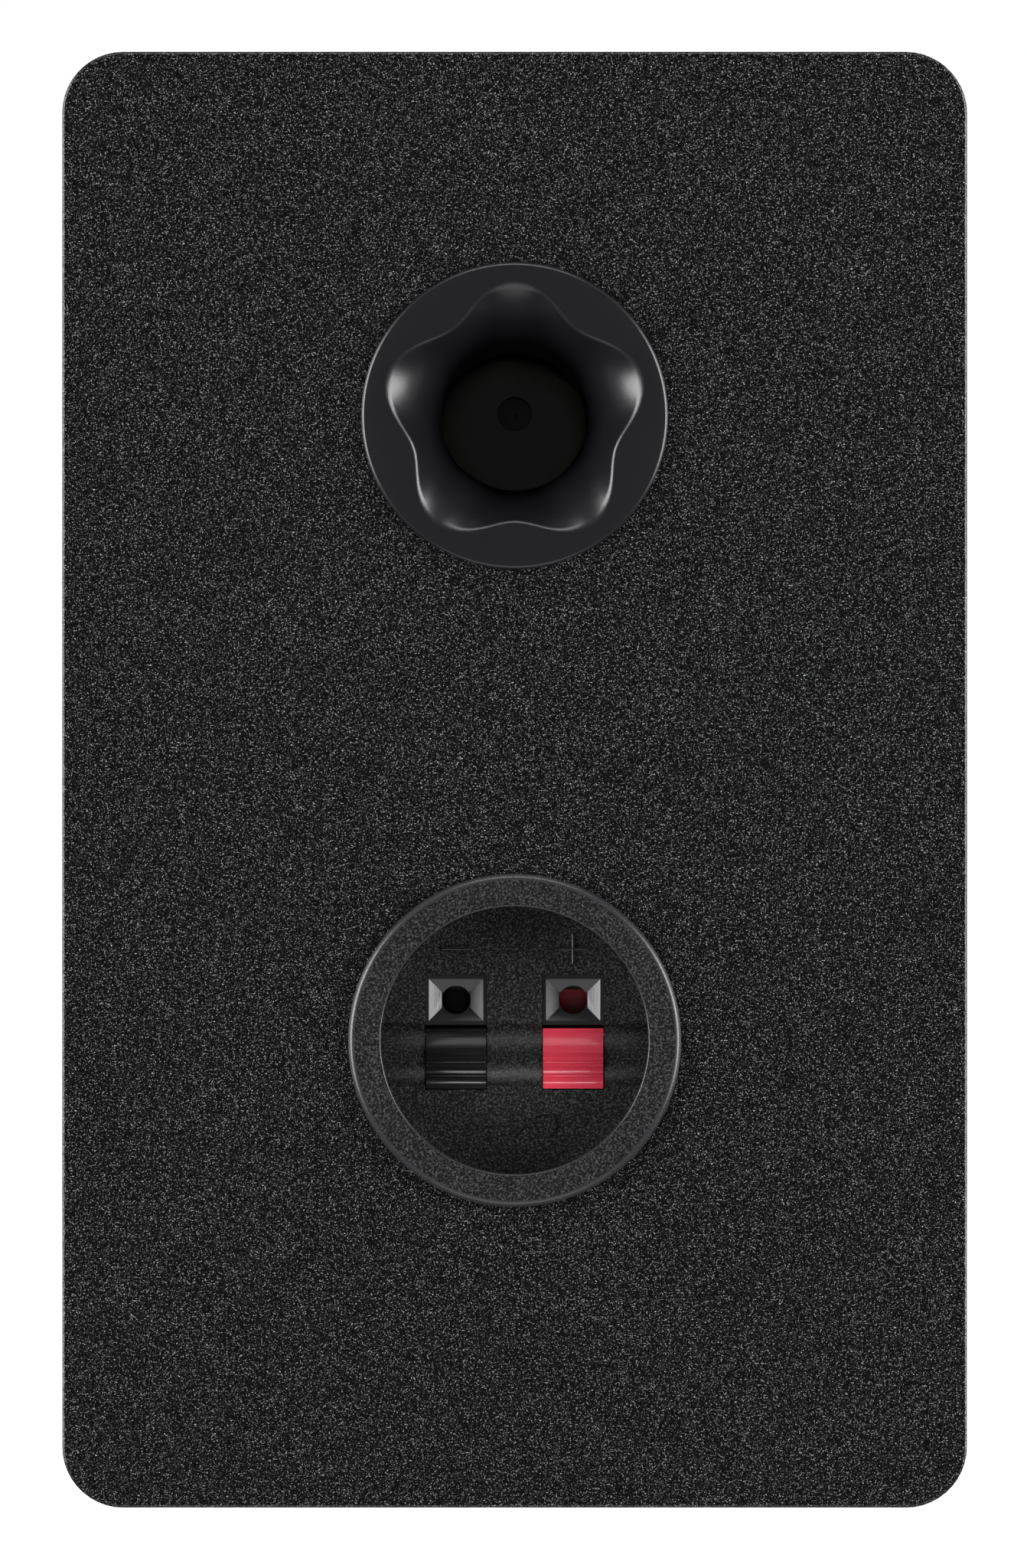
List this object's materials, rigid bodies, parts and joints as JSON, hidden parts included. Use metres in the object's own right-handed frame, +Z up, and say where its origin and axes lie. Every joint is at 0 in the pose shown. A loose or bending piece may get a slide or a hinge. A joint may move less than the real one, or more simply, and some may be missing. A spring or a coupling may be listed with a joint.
{
  "type": "bookshelf speaker",
  "caption": "Rear-ported two-way bookshelf loudspeaker with a pull-off cloth grille, moving woofer and tweeter, and a round rear cup with sprung push terminals.",
  "frame": {"origin": "middle of the whole object's box, on the surface it stands on", "axes": "+Z up, -Y out of the front through the grille, +Y out of the back with the port and terminals"},
  "size_m": [0.148, 0.219, 0.238],
  "materials": {
    "painted_board": "black textured paint on board",
    "baffle_lacquer": "black satin lacquer on board",
    "port_plastic": "satin black moulding",
    "cup_plastic": "fine spark-textured black moulding",
    "guide_plastic": "polished black moulding",
    "lever_black": "polished black moulding",
    "lever_red": "polished red moulding",
    "nickel_contact": "nickel-plated strip",
    "foam_gasket": "closed-cell foam",
    "wadding": "white polyester wadding",
    "black_steel": "black powder coat",
    "zinc_steel": "zinc-plated steel",
    "ferrite": "ground ferrite",
    "cone_paper": "pressed paper pulp",
    "dust_cap": "pressed paper pulp",
    "surround_rubber": "moulded rubber",
    "spider_cloth": "impregnated cotton",
    "former_foil": "foil",
    "copper_wire": "enamelled copper wire",
    "black_screw": "black oxide",
    "faceplate_plastic": "fine-textured black moulding",
    "dome_silk": "coated silk",
    "circuit_board": "paper laminate",
    "nylon": "natural nylon",
    "capacitor_sleeve": "shrink sleeve",
    "cement_resistor": "white cement",
    "lead_black": "soft insulation",
    "lead_red": "soft insulation",
    "grille_board": "black-stained board",
    "grille_cloth": "black knitted cloth",
    "peg_plastic": "moulded",
    "socket_rubber": "moulded rubber"
  },
  "bodies": {
    "cabinet": {"left_panel": "painted_board", "right_panel": "painted_board", "top_panel": "painted_board", "bottom_panel": "painted_board", "rear_panel": "painted_board", "front_baffle": "baffle_lacquer", "port_flare": "port_plastic", "port_tube": "port_plastic", "terminal_cup": "cup_plastic", "terminal_block": "cup_plastic", "negative_wire_guide": "guide_plastic", "positive_wire_guide": "guide_plastic", "negative_contact": "nickel_contact", "positive_contact": "nickel_contact", "woofer_terminals": "nickel_contact", "tweeter_terminals": "nickel_contact", "terminal_gasket": "foam_gasket", "woofer_gasket": "foam_gasket", "damping_wadding": "wadding", "woofer_basket": "black_steel", "woofer_top_plate": "zinc_steel", "woofer_yoke": "zinc_steel", "tweeter_top_plate": "zinc_steel", "tweeter_yoke": "zinc_steel", "woofer_magnet": "ferrite", "tweeter_magnet": "ferrite", "woofer_surround": "surround_rubber", "woofer_trim_ring": "surround_rubber", "woofer_spider": "spider_cloth", "crossover_winding": "copper_wire", "woofer_screws": "black_screw", "tweeter_screws": "black_screw", "crossover_screws": "black_screw", "tweeter_faceplate": "faceplate_plastic", "tweeter_surround": "dome_silk", "crossover_board": "circuit_board", "crossover_standoffs": "nylon", "crossover_bobbin": "nylon", "crossover_capacitor": "capacitor_sleeve", "crossover_resistor": "cement_resistor", "negative_input_lead": "lead_black", "negative_woofer_lead": "lead_black", "negative_tweeter_lead": "lead_black", "positive_input_lead": "lead_red", "positive_woofer_lead": "lead_red", "positive_tweeter_lead": "lead_red", "grille_sockets": "socket_rubber"},
    "negative_lever": {"negative_lever": "lever_black"},
    "positive_lever": {"positive_lever": "lever_red"},
    "woofer_moving_parts": {"woofer_cone": "cone_paper", "woofer_dust_cap": "dust_cap", "woofer_former": "former_foil", "woofer_voice_coil": "copper_wire"},
    "tweeter_moving_parts": {"tweeter_dome": "dome_silk", "tweeter_voice_coil": "copper_wire"},
    "grille": {"grille_frame": "grille_board", "grille_cloth": "grille_cloth", "grille_pegs": "peg_plastic"}
  },
  "joints": [
    {"name": "negative_lever_press", "type": "hinge", "parent": "cabinet", "child": "negative_lever", "pos_m": [0.0096, 0.09635, 0.0776], "axis": [-1, 0, 0], "range_deg": [0, 11], "stiffness_Nm_per_rad": 0.004},
    {"name": "positive_lever_press", "type": "hinge", "parent": "cabinet", "child": "positive_lever", "pos_m": [-0.0096, 0.09635, 0.0776], "axis": [-1, 0, 0], "range_deg": [0, 11], "stiffness_Nm_per_rad": 0.004},
    {"name": "woofer_excursion", "type": "slide", "parent": "cabinet", "child": "woofer_moving_parts", "axis": [0, -1, 0], "range_m": [-0.003, 0.003], "stiffness_N_per_m": 1000, "deforming": ["woofer_surround", "woofer_spider"]},
    {"name": "tweeter_excursion", "type": "slide", "parent": "cabinet", "child": "tweeter_moving_parts", "axis": [0, -1, 0], "range_m": [-0.0003, 0.0003], "stiffness_N_per_m": 200, "deforming": ["tweeter_surround"]},
    {"name": "grille_pull_off", "type": "slide", "parent": "cabinet", "child": "grille", "axis": [0, -1, 0], "range_m": [0, 0.06]}
  ]
}
